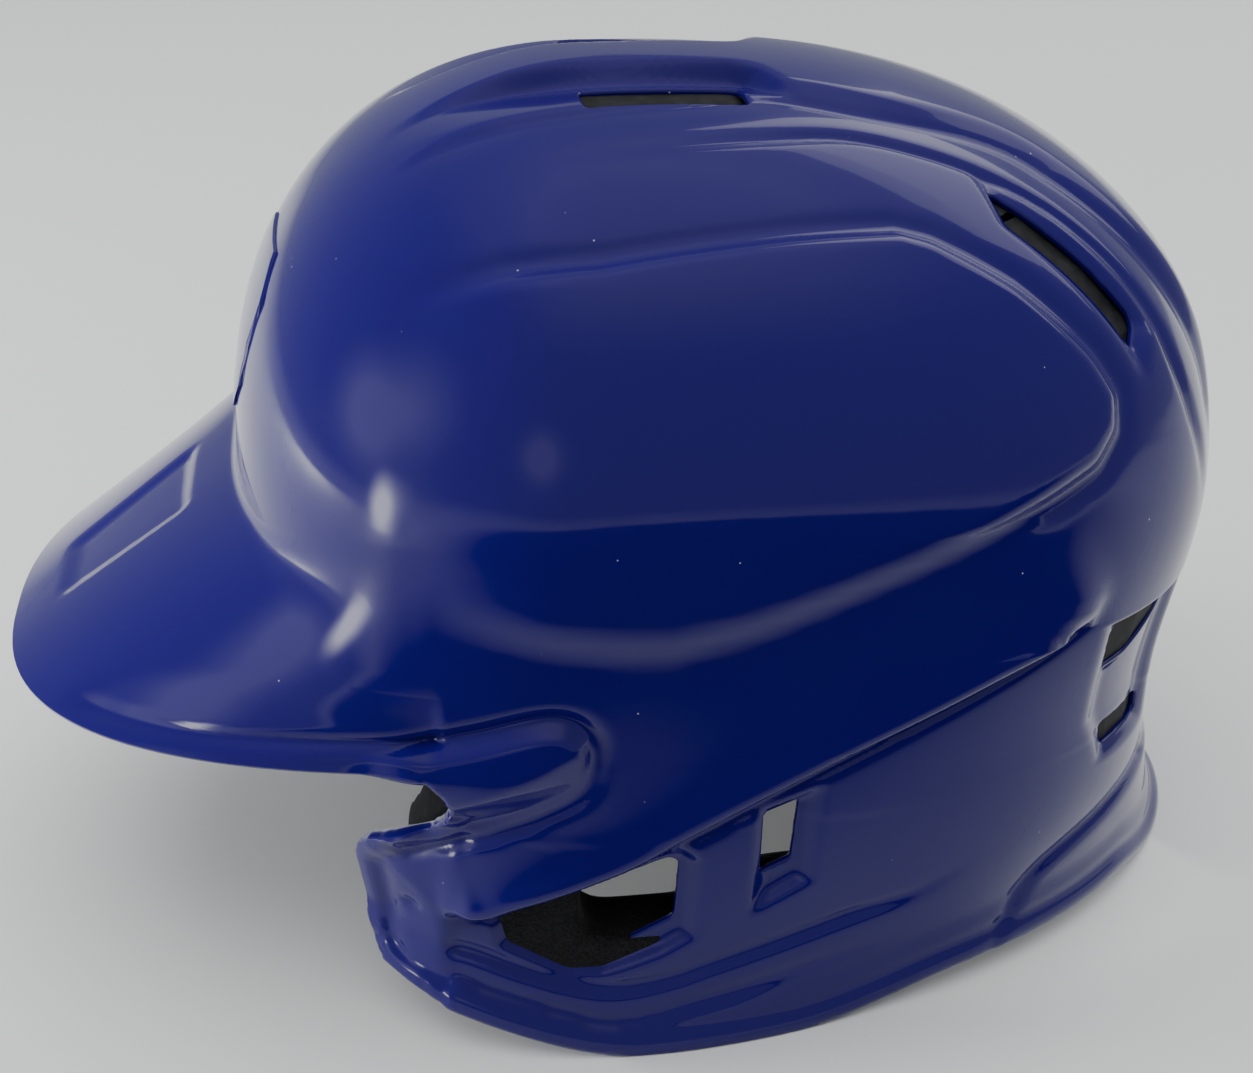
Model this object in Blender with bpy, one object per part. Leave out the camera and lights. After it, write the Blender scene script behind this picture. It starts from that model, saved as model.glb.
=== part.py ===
"""Batting helmet: gloss shell with a brim and two ear flaps, foam liner blocks and fabric comfort pads.

Metres, +Z up. The brim points along -Y and the wearer's left is +X. Both flaps and the nape stand on the floor.
Shapes are drawn in millimetres round a vertical axis through the widest part of the shell. An empty then carries
them all, so that the origin is on the floor, under the middle of the helmet's whole length.
"""

import math

import bmesh
import bpy
import numpy as np

MM = 0.001

# Outer shell, millimetres
HALF_WIDTH = 100.0  # half of the widest part
FRONT_REACH = 91.0  # widest part to the front wall
REAR_REACH = 148.0  # widest part to the rear wall
WIDEST_HEIGHT = 112.0
CROWN_RISE = 96.0  # widest part up to the crown
CROWN_FULLNESS = 2.3
FRONT_FULLNESS = 2.5
REAR_FULLNESS = 2.7
TOP_FULLNESS = 2.1
WAIST_HEIGHT = 60.0  # where the rear wall is tucked in most
REAR_TUCK = 5.0
NAPE_FLARE = 13.0
NAPE_FULLNESS_LOSS = 0.6
SHELL_WALL = 3.0
RIM_FLARE = 2.5
RIM_BAND = 14.0

# Brim
BRIM_REACH = 150.0  # widest part to the tip of the brim
BRIM_HALF_WIDTH = 99.3
BRIM_FULLNESS = 2.4
BROW_RISE = 4.0  # brim root above the widest part
TIP_DROP = 44.0  # brim root down to the tip
BRIM_ARCH = 7.4  # how much the ends of the brim edge stand above its tip
ROOT_FILLET_FRONT = 5.0
ROOT_FILLET_SIDE = 22.0
TAB_FADE_ANGLE = 22.0  # the brim's swell runs out this far behind the notch, degrees

# Ear flap and the notch between it and the brim
FLAP_FRONT_ANGLE = 50.0  # degrees round the Z axis from the front
NOTCH_ANGLE = 65.0
FLAP_TOP_FRONT = 50.0
FLAP_TOP_REAR = 62.0
CHIN_RISE = 17.0  # the flap's front corner above the floor
NECK_RISE = 7.0  # the rim's arch between the flap and the nape

# Openings in the shell, as outlines in the side view (y, z) or the rear view (x, z)
EAR_HOLE = ((-35.0, 35.0), (5.0, 52.0), (4.0, 34.0), (-13.0, 25.0), (-18.0, 24.0), (-33.0, 33.0))
SIDE_SLOT = ((24.0, 62.0), (32.0, 65.0), (31.0, 48.0), (24.0, 45.0))
REAR_VENT = ((54.0, 90.0), (79.0, 92.0), (76.0, 78.0), (54.0, 87.0))
NAPE_SLOT = ((53.0, 57.0), (71.0, 60.0), (70.0, 54.0), (53.0, 52.0))
TOP_VENT = ((20.0, -8.0), (29.0, -8.0), (26.0, 29.0), (20.0, 28.0))  # plan view (x, y)
UPPER_VENT_SPOT = (54.0, 95.0)  # plan place of the upper rear vent
UPPER_VENT_SIZE = (7.0, 36.0)
UPPER_VENT_TOE = 22.0  # degrees that the vent turns outwards towards the back

# Padding
FIT_GAP = 0.5  # between the shell, the liner and what they carry
LINER_THICKNESS = 10.0
DOT_THICKNESS = 1.6
DOT_GAP = 1.15  # a flat dot in the hollow of the liner touches nothing with its edge
DOT_RADIUS = 7.0
PAD_THICKNESS = 7.0
EAR_PAD_THICKNESS = 17.0
BLOCK_SPLIT = 1.0  # half of the gap between neighbouring liner blocks, degrees
EAR_PAD_OUTLINE = (
    (-55.0, 24.0), (-55.0, 46.0), (-50.0, 58.0), (-42.0, 68.0), (-30.0, 73.0), (8.0, 72.0),
    (17.0, 64.0), (20.0, 38.0), (56.0, 37.0), (64.0, 30.0), (64.0, 14.0), (-10.0, 9.0), (-40.0, 19.0),
)
EAR_PAD_HOLE = ((-17.0, 33.0), (-12.0, 29.0), (9.0, 29.0), (13.0, 34.0), (11.0, 54.0), (-8.0, 54.0), (-17.0, 46.0))

# Raised blank badge on the front, as an outline in the front view (x, z)
BADGE_HALF_ANGLE = 20.0
BADGE_LOW = 126.0
BADGE_HIGH = 174.0
BADGE_OUTLINE = ((-23.0, 140.0), (-14.0, 131.0), (14.0, 131.0), (23.0, 140.0), (23.0, 160.0), (14.0, 169.0),
                 (-14.0, 169.0), (-23.0, 160.0))
BADGE_THICKNESS = 2.0
BADGE_GAP = 0.3

# Mesh stations that the shell and its lining share
DOME_STEPS = 9
COLUMN_STEP = 5.0
LOWER_ROW_STEP = 9.0
WALL_STEPS = 6
BRIM_STEPS = 5
FILLET_STEPS = 3


def smooth(x):
    """Ease from 0 to 1."""
    x = np.clip(x, 0.0, 1.0)
    return x * x * (3.0 - 2.0 * x)


def section(height):
    """Plan outline at a height: half width, front reach, rear reach, front and rear fullness."""
    level = np.clip((height - WIDEST_HEIGHT) / CROWN_RISE, 0.0, 1.0)
    shrink = (1.0 - level**CROWN_FULLNESS) ** (1.0 / CROWN_FULLNESS)
    waist = smooth((WIDEST_HEIGHT - height) / (WIDEST_HEIGHT - WAIST_HEIGHT))
    skirt = np.clip((WAIST_HEIGHT - height) / WAIST_HEIGHT, 0.0, 1.0) ** 1.5
    half = HALF_WIDTH * shrink - skirt
    front = FRONT_REACH * shrink
    rear = REAR_REACH * shrink - REAR_TUCK * waist + NAPE_FLARE * skirt
    front_full = FRONT_FULLNESS - (FRONT_FULLNESS - TOP_FULLNESS) * level**1.5
    rear_full = REAR_FULLNESS - (REAR_FULLNESS - TOP_FULLNESS) * level**1.5
    rear_full = rear_full - 0.2 * waist - NAPE_FULLNESS_LOSS * skirt
    return half, front, rear, front_full, rear_full


def wall_radius(angle, height):
    """Distance from the Z axis to the shell's wall, at an angle from the front and a height."""
    half, front, rear, front_full, rear_full = section(height)
    side = np.abs(np.sin(angle))
    ahead = np.cos(angle)
    reach = np.where(ahead > 0.0, front, rear)
    full = np.where(ahead > 0.0, front_full, rear_full)
    size = (side / np.maximum(half, 1e-6)) ** full + (np.abs(ahead) / np.maximum(reach, 1e-6)) ** full
    return size ** (-1.0 / full)


def on_wall(angle, height):
    """Point of the shell's wall."""
    radius = wall_radius(angle, height)
    return np.array([radius * math.sin(angle), -radius * math.cos(angle), height])


def inset_point(angle, height, depth):
    """Point a given depth inside the wall, measured along the wall's normal."""
    step = 0.01
    here = on_wall(angle, height)
    across = on_wall(angle + step, height) - on_wall(angle - step, height)
    up = on_wall(angle, height + step * 20.0) - on_wall(angle, height - step * 20.0)
    normal = np.cross(across, up)
    return here - depth * normal / np.linalg.norm(normal)


def dome_height(step):
    """Height of a mesh station on the dome, 0 at the widest part and DOME_STEPS at the crown."""
    return WIDEST_HEIGHT + CROWN_RISE * math.sin(0.5 * math.pi * step / DOME_STEPS)


def brim_edge(angle):
    """Radius and height of the brim's edge."""
    size = (np.sin(angle) / BRIM_HALF_WIDTH) ** BRIM_FULLNESS + (np.cos(angle) / BRIM_REACH) ** BRIM_FULLNESS
    radius = size ** (-1.0 / BRIM_FULLNESS)
    tip = WIDEST_HEIGHT + BROW_RISE - TIP_DROP
    return radius, tip + BRIM_ARCH * (radius * math.sin(angle) / BRIM_HALF_WIDTH) ** 2


def brim_profile(angle, fillet):
    """Radii and heights from the foot of the dome, round the root fillet and out to the brim's edge."""
    root_height = WIDEST_HEIGHT + BROW_RISE
    start = root_height + min(fillet, 0.6 * (dome_height(1) - root_height))
    corner = np.array([float(wall_radius(angle, root_height)), root_height])
    top = np.array([float(wall_radius(angle, start)), start])
    edge = np.array([float(value) for value in brim_edge(angle)])
    run = edge - corner
    foot = corner + run * min(fillet / np.linalg.norm(run), 0.5)
    profile = []
    for step in range(FILLET_STEPS):
        t = step / (FILLET_STEPS - 1)
        profile.append(tuple((1 - t) ** 2 * top + 2 * t * (1 - t) * corner + t * t * foot))
    for step in range(1, BRIM_STEPS + 1):
        profile.append(tuple(foot + (edge - foot) * step / BRIM_STEPS))
    return profile


def tab_profile(angle, fillet):
    """Radii and heights of the side wall behind the brim, where the brim's swell fades out."""
    notch = math.radians(NOTCH_ANGLE)
    edge_radius, edge_height = brim_edge(notch)
    swell = edge_radius - wall_radius(notch, edge_height)
    swell *= 1.0 - smooth((angle - notch) / math.radians(TAB_FADE_ANGLE))
    heights = [height for _, height in brim_profile(notch, fillet)]
    profile = []
    for height in heights:
        share = (heights[0] - height) / (heights[0] - heights[-1])
        profile.append((float(wall_radius(angle, height) + swell * share), height))
    return profile


def column_profile(angle):
    """Radii and heights down one column: dome, brim root, then the brim or the side wall."""
    notch = math.radians(NOTCH_ANGLE)
    fillet = ROOT_FILLET_FRONT + (ROOT_FILLET_SIDE - ROOT_FILLET_FRONT) * smooth((angle / notch - 0.3) / 0.7)
    profile = []
    for step in range(DOME_STEPS - 1, 0, -1):
        height = dome_height(step)
        profile.append((float(wall_radius(angle, height)), height))
    if angle > notch + 1e-6:
        return profile + tab_profile(angle, fillet)
    return profile + brim_profile(angle, fillet)


def rim_height(y):
    """Lower edge of the shell: on the floor at the flaps and the nape, higher at the chin and behind the flaps."""
    chin = CHIN_RISE * smooth((-4.0 - y) / 70.0) ** 0.8
    neck = NECK_RISE * smooth((y - 30.0) / 50.0) * (1.0 - smooth((y - 0.84 * REAR_REACH) / (0.16 * REAR_REACH)))
    return chin + neck


def flap_profile(angle):
    """Radii and heights of the flap and the lower wall, from the notch's level down past the floor."""
    flap_front = math.radians(FLAP_FRONT_ANGLE)
    notch = math.radians(NOTCH_ANGLE)
    share = smooth((angle - flap_front) / (notch - flap_front))
    top = FLAP_TOP_FRONT + (FLAP_TOP_REAR - FLAP_TOP_FRONT) * share
    y = -wall_radius(angle, RIM_BAND) * math.cos(angle)
    low = float(rim_height(y))
    if low < 0.5:
        low = -2.0
    profile = []
    for step in range(WALL_STEPS + 1):
        height = top + (low - top) * step / WALL_STEPS
        flare = RIM_FLARE * float(smooth((low + RIM_BAND - height) / RIM_BAND))
        profile.append((float(wall_radius(angle, height)) + flare, height))
    return profile


def column_angles():
    """Angles of the mesh columns, front to back, in degrees."""
    angles = list(np.arange(0.0, FLAP_FRONT_ANGLE, COLUMN_STEP))
    angles += list(np.arange(FLAP_FRONT_ANGLE, 180.0 + 0.5 * COLUMN_STEP, COLUMN_STEP))
    return angles


def new_object(name, bm):
    """Finish a mesh in metres and put it in the scene."""
    bmesh.ops.recalc_face_normals(bm, faces=bm.faces)
    bmesh.ops.scale(bm, vec=(MM, MM, MM), verts=bm.verts)
    mesh = bpy.data.meshes.new(name)
    bm.to_mesh(mesh)
    bm.free()
    item = bpy.data.objects.new(name, mesh)
    bpy.context.scene.collection.objects.link(item)
    return item


def paint(item, material):
    """Give an object its material and smooth shading."""
    item.data.materials.append(material)
    item.data.shade_smooth()
    item.data.set_sharp_from_angle(angle=math.radians(35.0))


def make_material(name, colour, roughness, coat):
    """Principled material."""
    material = bpy.data.materials.new(name)
    material.use_nodes = True
    shader = material.node_tree.nodes["Principled BSDF"]
    shader.inputs["Base Color"].default_value = (*colour, 1.0)
    shader.inputs["Roughness"].default_value = roughness
    shader.inputs["Metallic"].default_value = 0.0
    shader.inputs["Coat Weight"].default_value = coat
    return material


def prism(name, outline, axis, low, high):
    """Closed prism: an outline in the plane across an axis, swept from low to high along that axis."""
    bm = bmesh.new()
    rings = []
    for place in (low, high):
        ring = []
        for first, second in outline:
            spot = {"x": (place, first, second), "y": (first, place, second), "z": (first, second, place)}[axis]
            ring.append(bm.verts.new(spot))
        rings.append(ring)
    count = len(outline)
    for k in range(count):
        n = (k + 1) % count
        bm.faces.new((rings[0][k], rings[0][n], rings[1][n], rings[1][k]))
    bm.faces.new(rings[0])
    bm.faces.new(rings[1])
    return new_object(name, bm)


def as_cutter(item):
    """Mark an object as a construction guide."""
    item.hide_render = True
    item.display_type = "WIRE"
    return item


def apply_boolean(item, cutter, operation):
    """Boolean modifier with the exact solver."""
    modifier = item.modifiers.new(cutter.name, "BOOLEAN")
    modifier.operation = operation
    modifier.solver = "EXACT"
    modifier.object = cutter


def mirrored(outline):
    """The same outline on the other side of the middle plane."""
    return tuple((-first, second) for first, second in outline)


def build_shell():
    """The moulded shell: a grid of columns, thickened inwards, with its openings cut out."""
    angles = column_angles()
    signed = [(-angle, angle) for angle in reversed(angles[1:-1])]
    columns = [(math.radians(abs(a)), 1.0 if a >= 0 else -1.0) for a, _ in signed]
    columns += [(math.radians(a), 1.0) for a in angles]
    bm = bmesh.new()
    crown = bm.verts.new((0.0, 0.0, WIDEST_HEIGHT + CROWN_RISE))
    grid = []
    for angle, side in columns:
        points = column_profile(angle)
        upper = len(points)
        if angle > math.radians(FLAP_FRONT_ANGLE) - 1e-6:
            points = points + flap_profile(angle)
        ring = [bm.verts.new((side * r * math.sin(angle), -r * math.cos(angle), z)) for r, z in points]
        grid.append((angle, upper, ring))
    notch = math.radians(NOTCH_ANGLE) - 1e-6
    for k, (angle, upper, ring) in enumerate(grid):
        next_angle, _, next_ring = grid[(k + 1) % len(grid)]
        bm.faces.new((crown, ring[0], next_ring[0]))
        for j in range(min(len(ring), len(next_ring)) - 1):
            if j == upper - 1 and min(angle, next_angle) < notch:
                continue
            bm.faces.new((ring[j], ring[j + 1], next_ring[j + 1], next_ring[j]))
    shell = new_object("outer_shell", bm)
    thick = shell.modifiers.new("wall", "SOLIDIFY")
    thick.thickness = SHELL_WALL * MM
    thick.offset = -1.0
    thick.use_even_offset = True
    reach = BRIM_REACH + REAR_REACH
    cutters = [prism("cut_floor", ((-reach, -40.0), (reach, -40.0), (reach, 0.0), (-reach, 0.0)), "x", -reach, reach)]
    cutters.append(prism("cut_ear_holes", EAR_HOLE, "x", -1.5 * HALF_WIDTH, 1.5 * HALF_WIDTH))
    cutters.append(prism("cut_side_slots", SIDE_SLOT, "x", -1.5 * HALF_WIDTH, 1.5 * HALF_WIDTH))
    vents = (("rear_vent", REAR_VENT, "y"), ("nape_slot", NAPE_SLOT, "y"), ("top_vent", TOP_VENT, "z"))
    for name, outline, axis in vents:
        for hand, shape in (("left", outline), ("right", mirrored(outline))):
            low, high = (0.3 * REAR_REACH, 1.5 * REAR_REACH) if axis == "y" else (WIDEST_HEIGHT, 3.0 * WIDEST_HEIGHT)
            cutters.append(prism(f"cut_{hand}_{name}", shape, axis, low, high))
    for hand, side in (("left", 1.0), ("right", -1.0)):
        cutters.append(upper_vent_cutter(f"cut_{hand}_upper_vent", side))
    for cutter in cutters:
        apply_boolean(shell, as_cutter(cutter), "DIFFERENCE")
    return shell


def upper_vent_cutter(name, side):
    """A long narrow slot cut downwards through the rear quarter of the crown."""
    width, length = UPPER_VENT_SIZE
    toe = math.radians(UPPER_VENT_TOE)
    outline = []
    for across, along in ((-0.5, -0.5), (0.5, -0.32), (0.5, 0.5), (-0.5, 0.5)):
        x = UPPER_VENT_SPOT[0] + across * width * math.cos(toe) + along * length * math.sin(toe)
        y = UPPER_VENT_SPOT[1] - across * width * math.sin(toe) + along * length * math.cos(toe)
        outline.append((side * x, y))
    return prism(name, outline, "z", WIDEST_HEIGHT, 3.0 * WIDEST_HEIGHT)


def build_patch(name, angles, heights, depth_out, depth_in):
    """Closed block that follows the wall between two depths, over a range of angles and heights."""
    bm = bmesh.new()
    sheets = []
    for depth in (depth_out, depth_in):
        sheet = [[bm.verts.new(inset_point(math.radians(a), h, depth)) for h in heights] for a in angles]
        sheets.append(sheet)
    outer, inner = sheets
    last_column = len(angles) - 1
    last_row = len(heights) - 1
    for sheet in sheets:
        for i in range(last_column):
            for j in range(last_row):
                bm.faces.new((sheet[i][j], sheet[i + 1][j], sheet[i + 1][j + 1], sheet[i][j + 1]))
    for i in range(last_column):
        for j in (0, last_row):
            bm.faces.new((outer[i][j], outer[i + 1][j], inner[i + 1][j], inner[i][j]))
    for j in range(last_row):
        for i in (0, last_column):
            bm.faces.new((outer[i][j], outer[i][j + 1], inner[i][j + 1], inner[i][j]))
    return new_object(name, bm)


def build_cap(name, lowest_step, depth_out, depth_in):
    """Closed round block under the crown."""
    angles = np.radians(np.arange(0.0, 360.0, 2.0 * COLUMN_STEP))
    heights = [dome_height(step) for step in range(lowest_step, DOME_STEPS)]
    bm = bmesh.new()
    sheets = []
    for depth in (depth_out, depth_in):
        sheets.append([[bm.verts.new(inset_point(a, h, depth)) for h in heights] for a in angles])
    poles = [bm.verts.new((0.0, 0.0, WIDEST_HEIGHT + CROWN_RISE - depth)) for depth in (depth_out, depth_in)]
    outer, inner = sheets
    for i in range(len(angles)):
        n = (i + 1) % len(angles)
        for sheet, pole in zip(sheets, poles):
            for j in range(len(heights) - 1):
                bm.faces.new((sheet[i][j], sheet[n][j], sheet[n][j + 1], sheet[i][j + 1]))
            bm.faces.new((sheet[i][-1], sheet[n][-1], pole))
        bm.faces.new((outer[i][0], outer[n][0], inner[n][0], inner[i][0]))
    return new_object(name, bm)


def build_disc(name, angle, height, depth_out, depth_in):
    """Flat round fastener disc that lies along the wall at a depth."""
    bm = bmesh.new()
    centre = inset_point(angle, height, 0.5 * (depth_out + depth_in))
    normal = inset_point(angle, height, 0.0) - inset_point(angle, height, 1.0)
    up = np.array([0.0, 0.0, 1.0]) if abs(normal[2]) < 0.9 else np.array([0.0, 1.0, 0.0])
    across = np.cross(up, normal)
    across /= np.linalg.norm(across)
    along = np.cross(normal, across)
    half = 0.5 * (depth_in - depth_out)
    rings = []
    sides = 16
    for offset in (half, -half):
        ring = []
        for k in range(sides):
            turn = 2.0 * math.pi * k / sides
            spot = centre + offset * normal + DOT_RADIUS * (math.cos(turn) * across + math.sin(turn) * along)
            ring.append(bm.verts.new(spot))
        rings.append(ring)
    for k in range(sides):
        n = (k + 1) % sides
        bm.faces.new((rings[0][k], rings[0][n], rings[1][n], rings[1][k]))
    bm.faces.new(rings[0])
    bm.faces.new(rings[1])
    return new_object(name, bm)


def build_dots(pad_name, spots, depth_out, depth_in, material):
    """Fastener discs between a liner block and its comfort pad."""
    for number, (angle, height) in enumerate(spots, start=1):
        paint(build_disc(f"{pad_name}_dot_{number}", math.radians(angle), height, depth_out, depth_in), material)


def build_badge(name):
    """Blank eight-sided plate that follows the front of the shell."""
    angles = np.linspace(-BADGE_HALF_ANGLE, BADGE_HALF_ANGLE, 9)
    heights = np.linspace(BADGE_LOW, BADGE_HIGH, 7)
    badge = build_patch(name, angles, heights, -BADGE_THICKNESS - BADGE_GAP, -BADGE_GAP)
    outline = as_cutter(prism(f"guide_{name}_outline", BADGE_OUTLINE, "y", -1.5 * FRONT_REACH, 0.0))
    apply_boolean(badge, outline, "INTERSECT")
    return badge


def build_ear_pad(name, side):
    """Thick pad behind an ear flap, with the ear opening through it."""
    angles = [side * a for a in np.arange(FLAP_FRONT_ANGLE - 5.0, 150.0, COLUMN_STEP)]
    heights = np.linspace(4.0, 78.0, 8)
    depth = SHELL_WALL + FIT_GAP
    pad = build_patch(name, angles, heights, depth, depth + EAR_PAD_THICKNESS)
    low, high = sorted((side * 0.2 * HALF_WIDTH, side * 1.5 * HALF_WIDTH))
    outline = as_cutter(prism(f"guide_{name}_outline", EAR_PAD_OUTLINE, "x", low, high))
    opening = as_cutter(prism(f"cut_{name}_opening", EAR_PAD_HOLE, "x", low, high))
    apply_boolean(pad, outline, "INTERSECT")
    apply_boolean(pad, opening, "DIFFERENCE")
    return pad


def angle_stations(first, last):
    """Mesh columns of a block between two angles, with its ends just inside them."""
    inner = [a for a in np.arange(-180.0, 360.0, COLUMN_STEP) if first + 2.0 < a < last - 2.0]
    return [first + BLOCK_SPLIT] + inner + [last - BLOCK_SPLIT]


def height_stations(low, high):
    """Mesh rows of a block between two heights."""
    rows = list(np.arange(0.0, WIDEST_HEIGHT - 2.0, LOWER_ROW_STEP)) + [dome_height(step) for step in range(DOME_STEPS)]
    return [low] + [h for h in rows if low + 3.0 < h < high - 3.0] + [high]


def centre_on_floor(shell):
    """Hang every object on an empty that puts the middle of the shell's length over the origin."""
    bpy.context.view_layer.update()
    evaluated = shell.evaluated_get(bpy.context.evaluated_depsgraph_get())
    along = [vertex.co.y for vertex in evaluated.to_mesh().vertices]
    evaluated.to_mesh_clear()
    frame = bpy.data.objects.new("helmet_frame", None)
    frame.location.y = -0.5 * (min(along) + max(along))
    for item in bpy.data.objects:
        if item is not frame:
            item.parent = frame
    bpy.context.scene.collection.objects.link(frame)


def main():
    for item in list(bpy.data.objects):
        bpy.data.objects.remove(item, do_unlink=True)

    gloss = make_material("gloss_blue_plastic", (0.012, 0.015, 0.26), 0.08, 1.0)
    foam = make_material("grey_liner_foam", (0.035, 0.035, 0.04), 0.85, 0.0)
    fabric = make_material("black_pad_fabric", (0.008, 0.008, 0.009), 0.95, 0.0)
    hook = make_material("black_hook_tape", (0.015, 0.015, 0.017), 0.8, 0.0)

    shell = build_shell()
    paint(shell, gloss)
    paint(build_badge("front_badge"), gloss)

    liner_out = SHELL_WALL + FIT_GAP
    liner_in = liner_out + LINER_THICKNESS
    crown_step = 5
    split_height = dome_height(crown_step) - 1.0
    brow = WIDEST_HEIGHT + BROW_RISE + 6.0
    blocks = (
        ("liner_front", -45.0, 45.0, brow, split_height),
        ("liner_left", 45.0, 122.0, 80.0, split_height),
        ("liner_right", -122.0, -45.0, 80.0, split_height),
        ("liner_rear", 122.0, 238.0, 46.0, split_height),
    )
    for name, first, last, low, high in blocks:
        block = build_patch(name, angle_stations(first, last), height_stations(low, high), liner_out, liner_in)
        paint(block, foam)
    paint(build_cap("liner_crown", crown_step, liner_out, liner_in), foam)

    dot_out = liner_in + DOT_GAP
    dot_in = dot_out + DOT_THICKNESS
    pad_out = dot_in + FIT_GAP
    pad_in = pad_out + PAD_THICKNESS
    high_pad = split_height - 8.0
    pads = (
        ("forehead_pad", -38.0, 38.0, brow + 1.0, brow + 30.0, ((-22.0, 138.0), (22.0, 138.0))),
        ("left_temple_pad", 48.0, 74.0, 92.0, 146.0, ((61.0, 108.0), (61.0, 130.0))),
        ("right_temple_pad", -74.0, -48.0, 92.0, 146.0, ((-61.0, 108.0), (-61.0, 130.0))),
        ("left_side_pad", 80.0, 116.0, 84.0, 150.0, ((98.0, 100.0), (98.0, 132.0))),
        ("right_side_pad", -116.0, -80.0, 84.0, 150.0, ((-98.0, 100.0), (-98.0, 132.0))),
        ("nape_pad", 152.0, 208.0, 50.0, 84.0, ((164.0, 66.0), (196.0, 66.0))),
        ("rear_pad", 140.0, 220.0, 100.0, high_pad, ((155.0, 130.0), (205.0, 130.0))),
    )
    for name, first, last, low, high, spots in pads:
        pad = build_patch(name, angle_stations(first, last), height_stations(low, high), pad_out, pad_in)
        paint(pad, fabric)
        build_dots(name, spots, dot_out, dot_in, hook)
    paint(build_cap("crown_pad", crown_step + 1, pad_out, pad_in), fabric)
    crown_spots = ((0.0, dome_height(crown_step + 2)), (180.0, dome_height(crown_step + 2)))
    build_dots("crown_pad", crown_spots, dot_out, dot_in, hook)

    paint(build_ear_pad("left_ear_pad", 1.0), fabric)
    paint(build_ear_pad("right_ear_pad", -1.0), fabric)
    centre_on_floor(shell)


main()
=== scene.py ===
"""Batting helmet: the looks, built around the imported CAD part.

The moulded shell is one fine grid of columns round the vertical axis, with its creases, recesses and openings.
Lengths inside the shell's making are millimetres, in a frame whose vertical axis runs through the widest part.
"""

import math

import bmesh
import bpy
import numpy as np
from mathutils import Matrix, Vector


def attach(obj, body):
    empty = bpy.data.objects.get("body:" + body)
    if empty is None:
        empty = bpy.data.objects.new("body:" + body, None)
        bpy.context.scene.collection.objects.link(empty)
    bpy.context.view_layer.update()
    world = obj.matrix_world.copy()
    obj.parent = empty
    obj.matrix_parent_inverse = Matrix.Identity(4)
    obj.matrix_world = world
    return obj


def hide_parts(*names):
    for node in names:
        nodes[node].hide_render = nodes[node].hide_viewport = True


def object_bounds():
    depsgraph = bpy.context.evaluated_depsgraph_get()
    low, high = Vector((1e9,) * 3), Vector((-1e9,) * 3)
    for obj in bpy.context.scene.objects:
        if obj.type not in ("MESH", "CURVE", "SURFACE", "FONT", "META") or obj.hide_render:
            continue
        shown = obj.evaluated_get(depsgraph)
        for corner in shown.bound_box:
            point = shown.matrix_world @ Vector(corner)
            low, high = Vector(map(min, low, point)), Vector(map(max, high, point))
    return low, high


MM = 0.001
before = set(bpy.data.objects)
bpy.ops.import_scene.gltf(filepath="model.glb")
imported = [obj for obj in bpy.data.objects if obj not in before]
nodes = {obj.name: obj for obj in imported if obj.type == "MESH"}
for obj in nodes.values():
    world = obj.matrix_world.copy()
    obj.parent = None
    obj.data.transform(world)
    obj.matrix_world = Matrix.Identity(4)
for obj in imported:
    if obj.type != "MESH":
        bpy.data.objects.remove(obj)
cad_low, cad_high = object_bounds()

# Shell, millimetres: the shape of the CAD shell, with a tighter crease where the brim meets the dome in front
HALF_WIDTH = 100.0
FRONT_REACH = 91.0
REAR_REACH = 148.0
WIDEST_HEIGHT = 112.0
CROWN_RISE = 96.0
CROWN_FULLNESS = 2.3
FRONT_FULLNESS = 2.5
REAR_FULLNESS = 2.7
TOP_FULLNESS = 2.1
WAIST_HEIGHT = 60.0
REAR_TUCK = 5.0
NAPE_FLARE = 13.0
WAIST_FULLNESS_LOSS = 0.2
NAPE_FULLNESS_LOSS = 0.6
SHELL_WALL = 3.0
BRIM_REACH = 150.0
BRIM_HALF_WIDTH = 99.3
BRIM_FULLNESS = 2.4
BROW_RISE = 4.0
TIP_DROP = 44.0
BRIM_ARCH = 7.4
ROOT_FILLET_FRONT = 3.0
ROOT_FILLET_SIDE = 26.0
ROOT_SHARE_START = 0.42  # share of the notch angle at which the root fillet begins to widen
ROOT_SHARE_SPAN = 0.55
ROOT_RISE_FRONT = 3.0  # most that the fillet climbs the dome in front, and how much more at the side
ROOT_RISE_GAIN = 11.0
TAB_FADE_ANGLE = 22.0
NOTCH_ANGLE = 65.0
CHIN_RISE = 17.0
CHIN_FROM = -4.0
CHIN_RUN = 70.0
CHIN_CURVE = 0.8
NECK_RISE = 7.0
NECK_FROM = 30.0
NECK_RUN = 50.0
NAPE_SHARE = 0.84  # share of the rear reach where the lower edge comes down again
RIM_FLARE = 2.5
RIM_BAND = 14.0
SWELL_TOP = 124.0  # where the side wall behind the brim begins to stand out, and how soon it ends below
SWELL_DROP = 17.0
MIDDLE_Y = cad_low.y / MM + BRIM_REACH  # where the vertical axis stands in the CAD frame

# Mesh stations
COLUMNS = 300  # on one side, front to back
DOME_ROWS = 130
FILLET_ROWS = 10
BRIM_ROWS = 46
WALL_ROWS = 98
WALL_START = 46.0  # degrees from the front where the side wall below the brim begins
NOTCH_LEVEL = 62.0
EASE_FROM = 54.0  # degrees between which the grid is smoothed across the notch angle
EASE_TO = 74.0
EASE_FADE = 8.0
EASE_ROUNDS = 60
SNAP = 0.12  # a grid point this near an opening's edge counts as on it
FAR_AWAY = 50.0
OPENING_EASE = 0.7  # the half-round rim fills this much of each opening again
RIM_TURN = (0.2, 0.4, 0.6, 0.8)  # places round the half-round rim, from outside to inside
RIM_BULGE = 0.55
THINNING = 1.2  # relief deeper than this moves the inside too

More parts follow.
